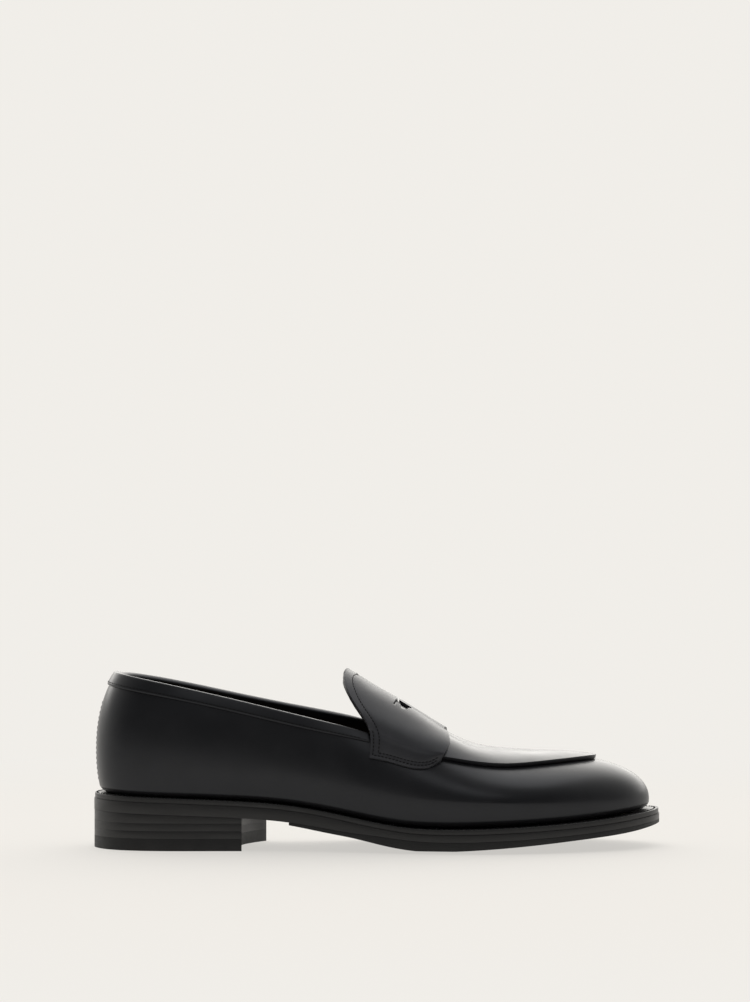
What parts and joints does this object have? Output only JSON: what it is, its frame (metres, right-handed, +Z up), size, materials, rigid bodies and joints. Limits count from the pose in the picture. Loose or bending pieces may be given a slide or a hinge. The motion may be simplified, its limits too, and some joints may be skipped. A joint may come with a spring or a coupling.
{
  "type": "penny loafer",
  "caption": "A black leather slip-on shoe for the right foot, with a raised-edge apron, a slotted strap over the instep, a welted leather sole and a stacked heel",
  "frame": {"origin": "On the floor, under the middle of the shoe's length and width", "axes": "+X points from the heel to the toe, +Y to the shoe's medial side, +Z up from the floor"},
  "size_m": [0.3003, 0.1045, 0.094],
  "materials": {
    "calf": "polished",
    "lining_leather": "matt",
    "board": "matt",
    "edge_leather": "waxed",
    "hard_rubber": "matt",
    "cork": "matt",
    "felt": "matt",
    "steel": "satin",
    "brass": "satin"
  },
  "bodies": {
    "root": {"vamp_skirt": "calf", "apron": "calf", "tongue": "calf", "saddle_strap": "calf", "collar_band": "calf", "quarter_lining": "lining_leather", "vamp_lining": "lining_leather", "tongue_lining": "lining_leather", "insole_sock": "lining_leather", "heel_counter": "board", "toe_puff": "board", "insole": "board", "seat_filler": "board", "welt": "edge_leather", "outsole": "edge_leather", "heel_lift_1": "edge_leather", "heel_lift_2": "edge_leather", "heel_lift_3": "edge_leather", "forepart_sole": "hard_rubber", "heel_top_piece": "hard_rubber", "cork_filler": "cork", "heel_pad": "felt", "shank": "steel", "heel_nail_1": "brass", "heel_nail_2": "brass", "heel_nail_3": "brass", "heel_nail_4": "brass", "heel_nail_5": "brass"}
  },
  "joints": []
}
